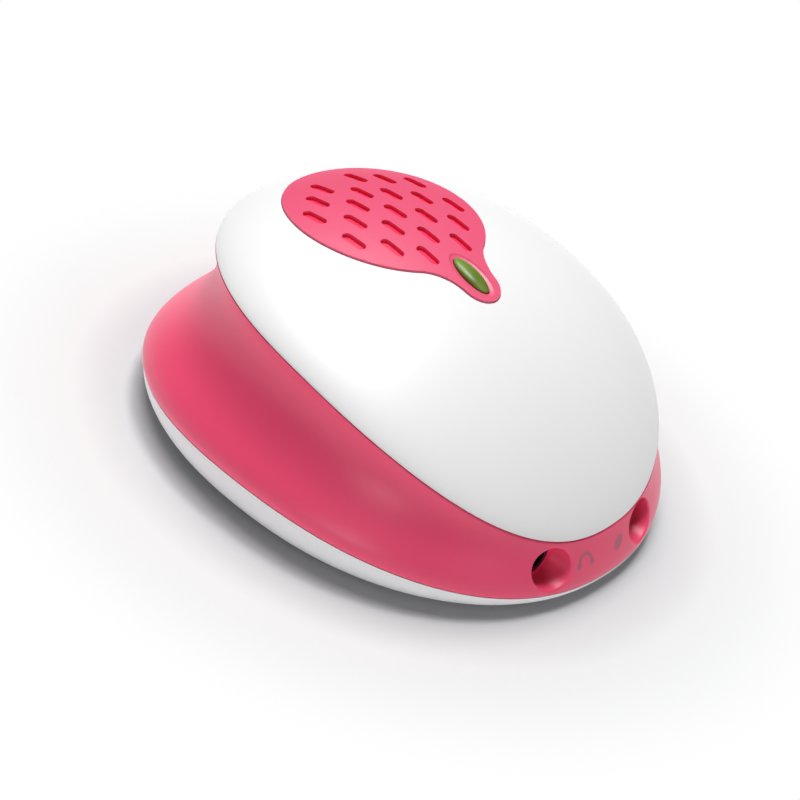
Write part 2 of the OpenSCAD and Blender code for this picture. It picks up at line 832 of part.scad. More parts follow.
module quartz_can() {
    color("silver") translate([-16, 4, board_top]) linear_extrude(3.5) rounded(10, 4, 1.9);
}

module socket_board() {
    half = socket_x + socket_w / 2 + 0.2;
    color("darkgreen")
        translate([socket_shift - half, recess_floor_y + recess_back + 0.2, socket_board_z])
        cube([2 * half, socket_end_y - recess_floor_y - recess_back - 0.2, board_t]);
}

module audio_socket(side) {
    x = socket_shift + side * socket_x;
    body_y = recess_floor_y + recess_back + 0.1;
    color("black") difference() {
        union() {
            translate([x - socket_w / 2, body_y, socket_z - socket_h / 2])
                cube([socket_w, socket_end_y - body_y, socket_h]);
            along_y([x, recess_floor_y + 0.1, socket_z], nose_r, body_y - recess_floor_y - 0.1);
        }
        along_y([x, recess_floor_y, socket_z], plug_r, socket_end_y - 0.5 - recess_floor_y);
    }
}

module headphone_socket() { audio_socket(-1); }
module record_socket() { audio_socket(1); }

// Ribbon from the socket board, up the compartment's front and over its roof
ribbon_t = 0.4;
ribbon_w = 8;
ribbon_on_board = 3;
module ribbon_leg(y0, y1, z0, z1) {
    translate([-ribbon_w / 2, y0, z0]) cube([ribbon_w, y1 - y0, z1 - z0]);
}
module socket_ribbon() {
    up_y = pocket_front - pocket_wall - 0.2;
    low_z = socket_board_z + board_t;
    over_z = pocket_top + 1.2;
    end_y = board_y - board_l / 2 + ribbon_on_board;
    color("lightsteelblue") {
        ribbon_leg(up_y - ribbon_t - 0.4, up_y, low_z, low_z + ribbon_t);
        ribbon_leg(up_y - ribbon_t, up_y, low_z, over_z + ribbon_t);
        ribbon_leg(up_y - ribbon_t, end_y, over_z, over_z + ribbon_t);
        ribbon_leg(end_y - ribbon_t, end_y, over_z, board_z);
    }
}

top_shell();
slotted_insert();
power_button();
waist_band();
base_shell();
battery_door();
door_pad();
probe_window();
probe_seal();
probe_cup();
transmit_crystal();
receive_crystal();
probe_backing();
probe_leads();
main_board();
board_screws();
case_screws();
power_switch();
switch_plunger();
power_led();
controller_chip();
audio_chip();
shield_can();
capacitors();
quartz_can();
battery();
battery_connector();
battery_leads();
socket_board();
headphone_socket();
record_socket();
socket_ribbon();
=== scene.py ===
# %% [markdown]
# # A pocket fetal doppler, dressed for the camera
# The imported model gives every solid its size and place, in metres, with +Z up
# and the audio sockets facing -Y. It stays fixed. This lesson builds smooth,
# softened surfaces over the moulded shells, gives every solid a finish, and
# sets up the light and the camera of the photograph.

# %% The fixed frame
import math

import bmesh
import bpy
from mathutils import Matrix, Vector
from mathutils.bvhtree import BVHTree


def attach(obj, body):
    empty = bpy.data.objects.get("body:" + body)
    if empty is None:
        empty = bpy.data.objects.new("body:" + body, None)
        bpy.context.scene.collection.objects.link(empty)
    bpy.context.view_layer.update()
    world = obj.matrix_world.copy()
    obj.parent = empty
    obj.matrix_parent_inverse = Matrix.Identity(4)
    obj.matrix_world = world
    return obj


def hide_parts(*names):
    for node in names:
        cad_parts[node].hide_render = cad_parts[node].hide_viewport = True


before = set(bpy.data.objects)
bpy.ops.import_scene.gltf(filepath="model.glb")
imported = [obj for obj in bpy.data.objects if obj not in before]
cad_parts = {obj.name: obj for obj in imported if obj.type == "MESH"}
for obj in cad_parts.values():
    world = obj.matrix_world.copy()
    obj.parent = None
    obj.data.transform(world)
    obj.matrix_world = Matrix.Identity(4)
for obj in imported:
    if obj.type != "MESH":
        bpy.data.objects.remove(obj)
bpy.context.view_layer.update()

# %% [markdown]
# ## The camera
# The photograph was taken from the front left, a third of the way up, with the
# camera turned a little on its own axis, so the object seems to lean. A long
# lens keeps the body's proportions. The three angles and the distance were
# worked out from the rim, the lower edge and the slots. An empty target with a
# Track To constraint would lose the roll, so the camera gets its axes directly.

# %% Camera
aim = Vector((0, 0, 0.024))
azimuth, elevation, roll = (math.radians(a) for a in (-58.412, 33.558, 16.949))
back = Vector((math.sin(azimuth) * math.cos(elevation),
               -math.cos(azimuth) * math.cos(elevation), math.sin(elevation)))
level_right = Vector((math.cos(azimuth), math.sin(azimuth), 0))
level_up = back.cross(level_right)
right = math.cos(roll) * level_right + math.sin(roll) * level_up
up = math.cos(roll) * level_up - math.sin(roll) * level_right
distance, leftwards, downwards = 0.365812, 0.005435, 0.012338
place = aim + distance * back - leftwards * right - downwards * up
turned = Matrix((right, up, back)).transposed()
bpy.ops.object.camera_add(location=place, rotation=turned.to_euler())
camera = bpy.context.object
camera.data.lens = 90
camera.data.sensor_width = 36
camera.data.clip_start, camera.data.clip_end = 0.01, 20
bpy.context.scene.camera = camera
print("camera stands", round(place.length, 3), "m from the underside's centre")

# %% [markdown]
# ## The form of the housing
# Two closed curves carry the whole shape: the rim, where the white dome meets
# the pink waist, and the lower edge, where the waist meets the base. Both are
# superellipses, a little squarer than an ellipse, and both rise and fall along
# the body. The dome is a crown over the rim. The waist runs between the curves
# on a bent line that swells over the lower edge and is hollow under the rim.
# A subdivided box could be pushed into such a form by eye, but formulas with
# the solid's own sizes make the surfaces meet along the same seams. They work
# in millimetres, and points become metres when they are put into a mesh.

# %% Form of the housing
BODY_L, BODY_W, LIP_POWER, LIP_SIDE, LIP_END = 100, 92, 2.2, 8, 3
DOME_L, DOME_W, DOME_Y, RIM_POWER = 88.6, 78.8, -2.7, 2.22
RIM_BACK, RIM_MID, RIM_FRONT, RIM_SLOPE = 33, 29.7, 11.2, 7.5
CROWN, CROWN_POWER, CROWN_LEAN = 10.1, 0.665, 0.217
SWELL, SWELL_H, HOLLOW, HOLLOW_H = 1.48, 0.25, -0.7, 0.44
WALL, FLOOR, FOOT = 2.2, 2.6, 0.885


def bulge(c, power):
    return math.copysign(abs(c) ** (2 / power), c)


def rim_z(u):
    bow = (RIM_BACK + RIM_FRONT) / 2 - RIM_MID
    twist = (RIM_BACK - RIM_FRONT) / 2 - RIM_SLOPE
    return RIM_MID + u * (RIM_SLOPE + u * (bow + u * twist))


def lip_z(v):
    return LIP_SIDE - (LIP_SIDE - LIP_END) * v * v


def rim_at(a, d=0.0, dz=0.0):
    u = bulge(math.sin(a), RIM_POWER)
    return Vector(((DOME_W / 2 - d) * bulge(math.cos(a), RIM_POWER),
                   DOME_Y + (DOME_L / 2 - d) * u, rim_z(u) + dz))


def lip_at(a, d=0.0, dz=0.0):
    v = bulge(math.sin(a), LIP_POWER)
    return Vector(((BODY_W / 2 - d) * bulge(math.cos(a), LIP_POWER),
                   (BODY_L / 2 - d) * v, lip_z(v) + dz))


def crown_z(u, t, crown=CROWN):
    return rim_z(u) + crown * max(0, 1 - t * t) ** CROWN_POWER * (1 + CROWN_LEAN * u)


def dome_at(a, t, d=0.0, crown=CROWN):
    u = t * bulge(math.sin(a), RIM_POWER)
    return Vector(((DOME_W / 2 - d) * t * bulge(math.cos(a), RIM_POWER),
                   DOME_Y + (DOME_L / 2 - d) * u, crown_z(u, t, crown)))


def skin_z(x, y):
    u, v = (y - DOME_Y) / (DOME_L / 2), x / (DOME_W / 2)
    t = (abs(u) ** RIM_POWER + abs(v) ** RIM_POWER) ** (1 / RIM_POWER)
    return crown_z(u, t)


def bent(p, t):
    s = 1 - t
    return s ** 3 * p[0] + 3 * s * s * t * p[1] + 3 * s * t * t * p[2] + t ** 3 * p[3]


def waist_at(a, t, d=0.0):
    rim, lip = rim_at(a, d), lip_at(a, d)
    low, tall = RIM_FRONT - LIP_END, RIM_MID - LIP_SIDE
    c = min(1, max(0, (rim.z - lip.z - low) / (tall - low)))
    w = bent((1, 1.05 + (SWELL - 1.05) * c, 0.35 + (HOLLOW - 0.35) * c, 0), t)
    h = bent((0, SWELL_H, 0.65 + (HOLLOW_H - 0.65) * c, 1), t)
    point = rim.lerp(lip, w)
    point.z = lip.z + (rim.z - lip.z) * h
    return point


print("rim height front, middle, back:", [round(rim_z(u), 1) for u in (-1, 0, 1)])
print("top of the dome:", round(max(skin_z(0, y) for y in range(0, 30)), 2))

# %% [markdown]
# ## Extruding a shell ring by ring
# A moulded shell is one surface that runs up the inside, round the edge and
# over the outside. It could be made from a sphere with many loop cuts, but
# here the two curves say where each ring lies. So one circle is added, put on
# the first ring, and extruded again and again. After each extrude the new ring
# is moved onto its curve. A pole is closed by a last extrude that is merged to
# one point. Everything is deselected first, because an operator acts on all
# that is selected.

# %% Loft helper
MM = 0.001
TURN = 2 * math.pi


def angles(count):
    return [(k + 0.5) * TURN / count for k in range(count)]


def alone(piece):
    bpy.ops.object.select_all(action="DESELECT")
    piece.select_set(True)
    bpy.context.view_layer.objects.active = piece


def chosen(piece):
    mesh = bmesh.from_edit_mesh(piece.data)
    return mesh, [v for v in mesh.verts if v.select]


def loft(name, rings, start=None, end=None):
    bpy.ops.object.select_all(action="DESELECT")
    bpy.ops.mesh.primitive_circle_add(vertices=len(rings[0]), radius=0.04)
    piece = bpy.context.object
    piece.name = name
    bpy.ops.object.mode_set(mode="EDIT")
    bpy.ops.mesh.select_all(action="SELECT")
    mesh, ring = chosen(piece)
    ring.sort(key=lambda v: math.atan2(v.co.y, v.co.x) % TURN)
    for k, points in enumerate(rings):
        if k:
            order = {v.co.to_tuple(): i for i, v in enumerate(ring)}
            bpy.ops.mesh.extrude_region_move()
            mesh, ring = chosen(piece)
            ring.sort(key=lambda v: order[v.co.to_tuple()])
        for v, p in zip(ring, points):
            v.co = MM * p
        bmesh.update_edit_mesh(piece.data)
    if end is not None:
        close_pole(piece, end)
    if start is not None:
        bpy.ops.mesh.select_all(action="DESELECT")
        mesh = bmesh.from_edit_mesh(piece.data)
        mesh.verts.ensure_lookup_table()
        for v in mesh.verts:
            v.select = v.is_boundary
        mesh.select_flush(True)
        bmesh.update_edit_mesh(piece.data)
        close_pole(piece, start)
    bpy.ops.mesh.select_all(action="SELECT")
    bpy.ops.mesh.normals_make_consistent(inside=False)
    bpy.ops.object.mode_set(mode="OBJECT")
    return piece


def close_ring(piece):
    """Bridges the first and last ring of a loft."""
    alone(piece)
    bpy.ops.object.mode_set(mode="EDIT")
    bpy.ops.mesh.select_all(action="DESELECT")
    bpy.ops.mesh.select_non_manifold()
    bpy.ops.mesh.bridge_edge_loops()
    bpy.ops.mesh.select_all(action="SELECT")
    bpy.ops.mesh.normals_make_consistent(inside=False)
    bpy.ops.object.mode_set(mode="OBJECT")


def close_pole(piece, point):
    bpy.ops.mesh.extrude_region_move()
    bpy.ops.mesh.merge(type="CENTER")
    mesh, pole = chosen(piece)
    pole[0].co = MM * Vector(point)
    bmesh.update_edit_mesh(piece.data)


# %% [markdown]
# ## The dome's blank
# The real dome is a thin moulding with a tongue that slips inside the waist.
# Its outer edge has a small radius, which catches a thin bright line beside the
# dark seam. The rings lie closest together near the rim, where the dome turns
# down steeply.

# %% Dome blank
AROUND = 192


def ring_of(maker):
    return [maker(a) for a in angles(AROUND)]


TONGUE, TONGUE_T = 2.0, 0.8
inner = [ring_of(lambda a, t=math.sin(math.radians(90 * k / 14)):
                 dome_at(a, t, WALL, CROWN - WALL)) for k in range(1, 15)]
edge = [ring_of(lambda a, d=d, z=z: rim_at(a, d, z)) for d, z in
        ((WALL, -TONGUE), (WALL - TONGUE_T, -TONGUE), (WALL - TONGUE_T, 0.05),
         (0.34, 0.05), (0.16, 0.08), (0.07, 0.16))]
outer = [ring_of(lambda a, t=math.sin(math.radians(86 - 2 * k)): dome_at(a, t))
         for k in range(42)]
dome = loft("dome", inner + edge + outer,
            start=(0, DOME_Y, crown_z(0, 0, CROWN - WALL)),
            end=(0, DOME_Y, crown_z(0, 0)))
print("dome blank:", len(dome.data.polygons), "faces")

# %% [markdown]
# ## Working flat, then pressing onto the dome
# The insert follows the dome's curve, but its outline, slots and edges are all
# drawn in plan. It is easiest to model it flat, where bevels and cuts are
# clean, then cut its faces into small cells and press every point down onto
# the dome. The same outline, a little larger, makes the seat.
# The outline is a round head, a hollow neck and a small round tail. Half of it
# is spun from one point, round three centres in turn, and a Mirror modifier
# adds the other half.

# %% Teardrop plate
HEAD_R, HEAD_Y, TAIL_R, NECK_R = 18.9, 16.5, 4.3, 10
BUTTON_L, BUTTON_W, BUTTON_Y = 8.6, 3.7, -4.8
PROUD, SUNK = 0.4, 1.1
TAIL_Y = BUTTON_Y - BUTTON_L / 2 + 2.4


def spin_round(piece, centre, start, stop, steps):
    """Carries the selected point round a centre, from one bearing to another."""
    centre = Vector(centre)
    mesh, points = chosen(piece)
    reach = (Vector((points[0].co.x, points[0].co.y)) / MM - centre).length
    bpy.ops.mesh.spin(steps=steps, angle=start - stop, axis=(0, 0, 1),
                      center=(centre.x * MM, centre.y * MM, 0))
    mesh, points = chosen(piece)
    wanted = MM * (centre + reach * Vector((math.cos(stop), math.sin(stop))))
    error = (Vector((points[0].co.x, points[0].co.y)) - wanted).length
    if error > 1e-6:
        print("spin ended", round(error / MM, 3), "mm off")


def teardrop_plate(name, grow, low, high):
    span = HEAD_Y - TAIL_Y
    to_head, to_tail = HEAD_R + NECK_R, TAIL_R + NECK_R
    drop = (to_head ** 2 - to_tail ** 2 + span ** 2) / (2 * span)
    out = math.sqrt(to_head ** 2 - drop ** 2)
    neck = (out, HEAD_Y - drop)
    head_end = math.atan2(-drop, out)
    tail_start = math.atan2(neck[1] - TAIL_Y, out)
    bpy.ops.object.select_all(action="DESELECT")
    bpy.ops.mesh.primitive_circle_add(vertices=3, radius=0.001)
    piece = bpy.context.object
    piece.name = name
    bpy.ops.object.mode_set(mode="EDIT")
    bpy.ops.mesh.select_all(action="SELECT")
    bpy.ops.mesh.merge(type="CENTER")
    mesh, point = chosen(piece)
    point[0].co = MM * Vector((0, HEAD_Y + HEAD_R + grow, low))
    bmesh.update_edit_mesh(piece.data)
    spin_round(piece, (0, HEAD_Y), math.pi / 2, head_end, 72)
    spin_round(piece, neck, head_end + math.pi, tail_start + math.pi, 20)
    spin_round(piece, (0, TAIL_Y), tail_start, -math.pi / 2, 24)
    bpy.ops.object.mode_set(mode="OBJECT")
    mirror = piece.modifiers.new("other half", "MIRROR")
    mirror.merge_threshold = 1e-5
    bpy.ops.object.modifier_apply(modifier=mirror.name)
    bpy.ops.object.mode_set(mode="EDIT")
    bpy.ops.mesh.select_all(action="SELECT")
    bpy.ops.mesh.edge_face_add()
    bpy.ops.mesh.extrude_region_move(
        TRANSFORM_OT_translate={"value": (0, 0, (high - low) * MM)})
    bpy.ops.mesh.select_all(action="SELECT")
    bpy.ops.mesh.normals_make_consistent(inside=False)
    bpy.ops.object.mode_set(mode="OBJECT")
    return piece


def press_on_dome(piece, cell=1.0):
    """Cuts a flat piece into cells and lays it on the dome's skin."""
    alone(piece)
    low, high = (Vector(f(v.co[i] for v in piece.data.vertices) for i in range(3)) / MM
                 for f in (min, max))
    bpy.ops.object.mode_set(mode="EDIT")
    for axis, normal in ((0, (1, 0, 0)), (1, (0, 1, 0))):
        at = math.floor(low[axis]) + 0.37
        while at < high[axis]:
            where = [0.0, 0.0, 0.0]
            where[axis] = at * MM
            bpy.ops.mesh.select_all(action="SELECT")
            bpy.ops.mesh.bisect(plane_co=where, plane_no=normal)
            at += cell
    bpy.ops.object.mode_set(mode="OBJECT")
    for v in piece.data.vertices:
        v.co.z += skin_z(v.co.x / MM, v.co.y / MM) * MM
    return piece


# %% [markdown]
# ## Cutting with a tool
# A Boolean modifier cuts one piece with another, as a mill would. The tool is
# deleted after the modifier is applied.

# %% Cutting helper


def cut(piece, tool, how="DIFFERENCE"):
    alone(piece)
    step = piece.modifiers.new("cut", "BOOLEAN")
    step.operation, step.solver, step.object = how, "EXACT", tool
    bpy.ops.object.modifier_apply(modifier=step.name)
    bpy.data.objects.remove(tool)
    return piece


def oval_tool(name, length, width, low, high, points=64):
    bpy.ops.object.select_all(action="DESELECT")
    bpy.ops.mesh.primitive_cylinder_add(
        vertices=points, radius=MM / 2, depth=(high - low) * MM,
        location=(0, BUTTON_Y * MM, (high + low) / 2 * MM))
    piece = bpy.context.object
    piece.name = name
    piece.scale = (width, length, 1)
    bpy.ops.object.transform_apply(location=True, rotation=True, scale=True)
    return piece


# %% [markdown]
# ## Keeping the curve's shading at a cut
# A cut leaves long thin faces beside it, and averaged normals make them look
# dented. Before the cut, a copy of the smooth skin is put aside. Afterwards
# each corner that still lies on the skin takes the skin's own normal from the
# copy, so the light runs over the surface as if it had never been cut.

# %% Shading helper


def skin_copy(piece):
    twin = piece.copy()
    twin.data = piece.data.copy()
    bpy.context.collection.objects.link(twin)
    return twin


def keep_skin(piece, skin, tolerance=0.03):
    tree = BVHTree.FromObject(skin, bpy.context.evaluated_depsgraph_get())
    source = skin.data
    alone(piece)
    bpy.ops.object.shade_smooth_by_angle(angle=math.radians(38))
    mesh = piece.data
    soft = {}
    for v in mesh.vertices:
        spot, _, face, gap = tree.find_nearest(v.co)
        if gap < tolerance * MM:
            total = Vector()
            for i in source.polygons[face].vertices:
                corner = source.vertices[i]
                total += corner.normal / max((corner.co - spot).length, 1e-6)
            soft[v.index] = total.normalized()
    normals = [Vector(n.vector) for n in mesh.corner_normals]
    kept = 0
    for face in mesh.polygons:
        for corner in face.loop_indices:
            n = soft.get(mesh.loops[corner].vertex_index)
            if n is not None and face.normal.dot(n) > 0.8:
                normals[corner] = n
                kept += 1
    mesh.normals_split_custom_set(normals)
    bpy.data.objects.remove(skin)
    print(piece.name, "keeps the skin's normal at", kept, "corners")


# %% [markdown]
# ## The dome, with the insert's seat and the button's way
# The seat is a teardrop pocket that follows the skin 1.1 mm down. The insert
# leaves a tenth of a millimetre all round, which shows as the thin dark line.

# %% Dome
seat = press_on_dome(teardrop_plate("seat", 0.1, -SUNK, 3))
smooth_dome = skin_copy(dome)
cut(dome, seat)
cut(dome, oval_tool("button_way", BUTTON_L + 0.3, BUTTON_W + 0.3, 20, 60))
keep_skin(dome, smooth_dome)
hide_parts("top_shell")
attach(dome, "housing")

# %% [markdown]
# ## The slotted insert
# A tinted moulding with rows of blind slots and a well for the button. The
# outer edge is bevelled while the plate is still plain. One slot tool with
# round ends is made from a cylinder, by moving its two halves apart, and
# copied to every place. After the cuts a Bevel modifier softens each sharp
# edge: the slots' mouths, their floors and the well.

# %% Insert plate with its rounded edge
insert = teardrop_plate("insert", 0, 0.05 - SUNK, PROUD)
alone(insert)
bpy.ops.object.mode_set(mode="EDIT")
bpy.ops.mesh.select_all(action="DESELECT")
mesh = bmesh.from_edit_mesh(insert.data)
for line in mesh.edges:
    line.select = all(abs(v.co.z - PROUD * MM) < 1e-6 for v in line.verts)
bmesh.update_edit_mesh(insert.data)
bpy.ops.mesh.bevel(offset=0.4 * MM, segments=5, affect="EDGES")
bpy.ops.object.mode_set(mode="OBJECT")

# %% [markdown]
# ## One slot tool, copied to every place
# The tool is a cylinder whose two halves are moved apart, which gives true
# round ends. Each column has its own count and pitch, as the picture shows,
# and the copies are joined, so that one cut makes all the slots.

# %% Slot tool and its copies
SLOT_L, SLOT_W, SLOT_D = 5.2, 2.0, 0.75
bpy.ops.object.select_all(action="DESELECT")
bpy.ops.mesh.primitive_cylinder_add(vertices=24, radius=SLOT_W / 2 * MM, depth=3 * MM,
                                    location=(0, 0, (PROUD - SLOT_D + 1.5) * MM),
                                    rotation=(0, 0, math.radians(7.5)))
slot_tool = bpy.context.object
bpy.ops.object.transform_apply(location=True, rotation=True, scale=True)
bpy.ops.object.mode_set(mode="EDIT")
for side in (-1, 1):
    bpy.ops.mesh.select_all(action="DESELECT")
    mesh = bmesh.from_edit_mesh(slot_tool.data)
    for v in mesh.verts:
        v.select = v.co.y * side > 0
    mesh.select_flush(True)
    bmesh.update_edit_mesh(slot_tool.data)
    bpy.ops.transform.translate(value=(0, side * (SLOT_L - SLOT_W) / 2 * MM, 0))
bpy.ops.object.mode_set(mode="OBJECT")

SLOTS = {0: 3, 1: 4, 2: 3, 3: 2}
slot_tools, slot_places = [], []
for column in range(-3, 4):
    count = SLOTS[abs(column)]
    pitch = 8.2 + 0.45 * abs(column)
    middle = HEAD_Y - 2 + 0.7 * abs(column)
    for k in range(count):
        tool = slot_tool.copy()
        tool.data = slot_tool.data.copy()
        tool.location = (column * 4.7 * MM, (middle + (k - (count - 1) / 2) * pitch) * MM, 0)
        bpy.context.collection.objects.link(tool)
        slot_tools.append(tool)
        slot_places.append(tuple(tool.location / MM))
bpy.ops.object.select_all(action="DESELECT")
for tool in slot_tools:
    tool.select_set(True)
bpy.context.view_layer.objects.active = slot_tools[0]
bpy.ops.object.transform_apply(location=True, rotation=True, scale=True)
bpy.ops.object.join()
bpy.data.objects.remove(slot_tool)
print("slots:", len(slot_tools))

# %% [markdown]
# ## Cuts first, then soft edges, then the dome's curve
# A flattened sphere sinks the shallow well round the lens. The bevel comes
# while the plate is still flat, where every edge is easy to judge. Only then
# is the plate pressed on the dome, and the depth of each slot point is noted
# on the mesh, as the mask of the painted shade inside the slots.

# %% Insert cut, softened and pressed
cut(insert, slot_tools[0])
bpy.ops.object.select_all(action="DESELECT")
bpy.ops.mesh.primitive_uv_sphere_add(segments=64, ring_count=32, radius=MM / 2,
                                     location=(0, BUTTON_Y * MM, (PROUD + 0.1) * MM))
dish = bpy.context.object
dish.scale = (BUTTON_W + 2.3, BUTTON_L + 2.3, 1.5)
bpy.ops.object.transform_apply(location=True, rotation=True, scale=True)
cut(insert, dish)
cut(insert, oval_tool("way", BUTTON_L + 0.3, BUTTON_W + 0.3, -3, 3))
soften = insert.modifiers.new("soften", "BEVEL")
soften.width, soften.segments, soften.limit_method = 0.24 * MM, 3, "ANGLE"
soften.angle_limit = math.radians(28)
soften.use_clamp_overlap = True
alone(insert)
bpy.ops.object.modifier_apply(modifier=soften.name)
press_on_dome(insert)
# Painted shade: the depth of each slot point becomes the mask of a deeper, redder pink inside the
# slots.
depth = insert.data.attributes.new("slot_painted_shade", "FLOAT", "POINT")
for v, value in zip(insert.data.vertices, depth.data):
    x, y, z = v.co / MM
    if any(abs(x - cx) < SLOT_W / 2 + 0.3 and abs(y - cy) < SLOT_L / 2 + 0.3
           for cx, cy, _ in slot_places):
        value.value = min(1.0, max(0.0, (PROUD - 0.1 + skin_z(x, y) - z) / 0.3))
alone(insert)
bpy.ops.object.shade_smooth_by_angle(angle=math.radians(40))
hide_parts("slotted_insert")
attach(insert, "housing")
print("insert:", len(insert.data.polygons), "faces")

# %% [markdown]
# ## The button
# An oval lens that bows out of its well and is lit from below. Half a sphere,
# squashed to the lens's outline, gives the crown. Its cut edge is extruded down
# into the way, out to the flange that keeps it from falling out, and in to the
# stem that presses the switch.

# %% Button
bpy.ops.object.select_all(action="DESELECT")
bpy.ops.mesh.primitive_uv_sphere_add(segments=64, ring_count=32, radius=MM / 2,
                                     location=(0, BUTTON_Y * MM, 0))
button = bpy.context.object
button.name = "button"
button.scale = (BUTTON_W, BUTTON_L, 1.5)
bpy.ops.object.transform_apply(location=True, rotation=True, scale=True)
bpy.ops.object.mode_set(mode="EDIT")
bpy.ops.mesh.select_all(action="SELECT")
bpy.ops.mesh.bisect(plane_co=(0, 0, 1e-9), plane_no=(0, 0, 1), clear_inner=True)
bpy.ops.mesh.select_all(action="DESELECT")
bpy.ops.mesh.select_non_manifold()
bpy.ops.object.mode_set(mode="OBJECT")
for v in button.data.vertices:
    v.co.z += (skin_z(0, v.co.y / MM) + PROUD - 0.2) * MM
bpy.ops.object.mode_set(mode="EDIT")
FLANGE_Z, PLUNGER_Z = 33.7, 29.7


def level_ring(piece, grow, z):
    """Extrudes the selected loop, puts it at a height, and grows it."""
    bpy.ops.mesh.extrude_region_move()
    mesh, loop = chosen(piece)
    for v in loop:
        x, y = v.co.x / MM, v.co.y / MM - BUTTON_Y
        spread = math.hypot(x, y)
        v.co = MM * Vector((x + grow * x / spread, y + grow * y / spread + BUTTON_Y, z))
    bmesh.update_edit_mesh(piece.data)


level_ring(button, 0, FLANGE_Z)
level_ring(button, 0.85, FLANGE_Z)
level_ring(button, 0, FLANGE_Z - 1.1)
bpy.ops.mesh.extrude_region_move()
mesh, loop = chosen(button)
for v in loop:
    bearing = math.atan2(v.co.y / MM - BUTTON_Y, v.co.x / MM)
    v.co = MM * Vector((1.6 * math.cos(bearing), BUTTON_Y + 1.6 * math.sin(bearing),
                        FLANGE_Z - 1.1))
bmesh.update_edit_mesh(button.data)
level_ring(button, 0, PLUNGER_Z)
bpy.ops.mesh.edge_face_add()
bpy.ops.mesh.select_all(action="SELECT")
bpy.ops.mesh.remove_doubles(threshold=1e-6)
bpy.ops.mesh.normals_make_consistent(inside=False)
bpy.ops.object.mode_set(mode="OBJECT")
bpy.ops.object.shade_smooth_by_angle(angle=math.radians(40))
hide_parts("power_button")
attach(button, "button")

# %% [markdown]
# ## The waist
# The pink band is a ring-shaped moulding, open above and below. It is lofted
# up the outside, over the top edge with its groove for the dome's tongue, and
# down the inside, and then its first and last rings are bridged. A thin seam
# stays open under the dome's rim.

# %% Waist blank
outside = [ring_of(lambda a: lip_at(a, 0.25, 0.05)), ring_of(lambda a: lip_at(a, 0.07, 0.1))]
outside += [ring_of(lambda a, t=t: waist_at(a, t)) for t in
            (0.02 + 0.96 * k / 44 for k in range(45))]
top = [ring_of(lambda a, d=d, z=z: rim_at(a, d, z)) for d, z in
       ((0.05, -0.18), (0.2, -0.1), (1.5, -0.1), (1.5, -TONGUE - 0.2))]
inside = [ring_of(lambda a, t=t: waist_at(a, t, WALL)) for t in
          (0.7 - 0.7 * k / 14 for k in range(15))]
waist = loft("waist", outside + top + inside)
close_ring(waist)
print("waist blank:", len(waist.data.polygons), "faces")

# %% [markdown]
# ## Socket recesses
# Each audio socket sits at the bottom of an oval recess that makes room for
# the plug's moulded body. Its mouth lies on the waist's curved skin, and a
# bevel along such a cut comes out uneven. So the recess is a lofted cup, like
# the shells: its first ring lies on the skin, the next ones roll over a small
# radius into the wall, and the rest go down to the floor, through the hole for
# the socket's nose and back along the outside. A ray sent along Y finds the
# skin for every point. The waist gets a matching hole, and both are joined.

# %% Socket recesses
SOCKET_SHIFT, SOCKET_REACH = -1.5, 13.0
SOCKETS_X = (SOCKET_SHIFT - SOCKET_REACH, SOCKET_SHIFT + SOCKET_REACH)
SOCKET_Z, RECESS_W, RECESS_H, RECESS_Y, NOSE_R = 7.9, 8.7, 7.2, -43.2, 3.0
ROLL, CUP_T, CUP_BACK = 0.45, 0.75, 0.8


def recess_cup(middle, skin):
    def oval_ring(grow, y=None, depth=0.0, round_r=None):
        def point(a):
            across = round_r or RECESS_W / 2 + grow
            upwards = round_r or RECESS_H / 2 + grow
            x, z = middle + across * math.cos(a), SOCKET_Z + upwards * math.sin(a)
            if y is not None:
                return Vector((x, y, z))
            hit = skin.ray_cast(MM * Vector((x, -60, z)), Vector((0, 1, 0)))[0]
            return Vector((x, hit.y / MM + depth, z))
        return ring_of(point)

    rolls = [math.radians(15 * k) for k in range(7)]
    rings = [oval_ring(ROLL * (1 - math.sin(q)), depth=ROLL * (1 - math.cos(q))) for q in rolls]
    rings += [oval_ring(g, RECESS_Y + y) for g, y in ((0, -0.25), (-0.07, -0.07), (-0.25, 0))]
    rings += [oval_ring(0, RECESS_Y + y, round_r=r) for r, y in
              ((NOSE_R + 0.12, 0), (NOSE_R, 0.12), (NOSE_R, CUP_BACK))]
    rings += [oval_ring(CUP_T, RECESS_Y + CUP_BACK), oval_ring(CUP_T, depth=1.2)]
    cup = loft("recess_cup", rings)
    close_ring(cup)
    return cup


smooth_waist = skin_copy(waist)
skin_tree = BVHTree.FromObject(smooth_waist, bpy.context.evaluated_depsgraph_get())
cups = [recess_cup(x, skin_tree) for x in SOCKETS_X]
for x in SOCKETS_X:
    bpy.ops.object.select_all(action="DESELECT")
    bpy.ops.mesh.primitive_cylinder_add(
        vertices=AROUND, radius=MM / 2, depth=24 * MM,
        location=(x * MM, -50 * MM, SOCKET_Z * MM), rotation=(math.pi / 2, 0, 0))
    drill = bpy.context.object
    drill.scale = (RECESS_W + 2 * ROLL, RECESS_H + 2 * ROLL, 1)
    bpy.ops.object.transform_apply(location=True, rotation=True, scale=True)
    cut(waist, drill)
alone(waist)
for cup in cups:
    cup.select_set(True)
bpy.ops.object.join()
keep_skin(waist, smooth_waist)
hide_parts("waist_band")
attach(waist, "housing")

# %% [markdown]
# ## The base
# A shallow white tray with a rounded foot. Its underside takes the battery
# door, the probe, and the screws, so it is lofted as a closed bowl and then
# milled. The compartment's walls are a box of their own inside.

